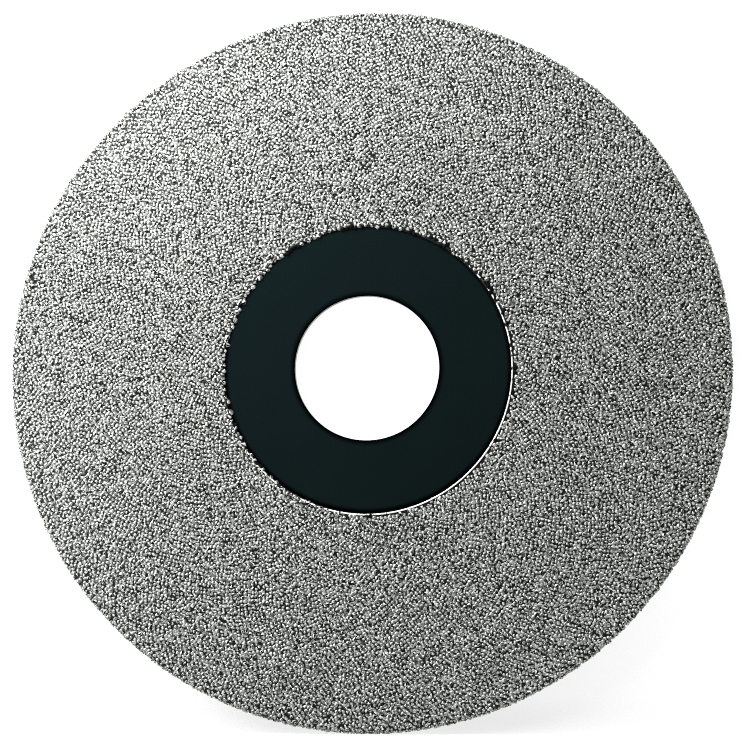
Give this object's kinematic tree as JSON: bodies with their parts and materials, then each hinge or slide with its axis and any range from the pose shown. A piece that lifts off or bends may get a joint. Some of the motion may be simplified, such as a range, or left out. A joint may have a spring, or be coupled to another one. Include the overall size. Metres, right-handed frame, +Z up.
{
  "type": "diamond grinding wheel",
  "caption": "Flat diamond lap wheel: a thin steel disc with a coarse plated diamond coating on its face and rim, a black hub ring and a plain arbor bore.",
  "frame": {"origin": "on the axis of the arbor bore, half-way through the thickness of the steel core", "axes": "+Y along the bore's axis, out of the plain back face; the coated face looks towards -Y; +Z up, with the wheel standing on edge; +X to the right as seen from the coated face"},
  "size_m": [0.1, 0.0015, 0.1],
  "materials": {
    "core_steel": "fine turned, nickel flashed",
    "bond_nickel": "matte electroplated nickel",
    "diamond_grit": "glassy facets, coarse grit",
    "label_film": "satin",
    "label_adhesive": "matte"
  },
  "bodies": {
    "root": {"steel_core": "core_steel", "nickel_bond": "bond_nickel", "face_grit": "diamond_grit", "rim_grit": "diamond_grit", "hub_label": "label_film", "label_adhesive": "label_adhesive"}
  },
  "joints": []
}
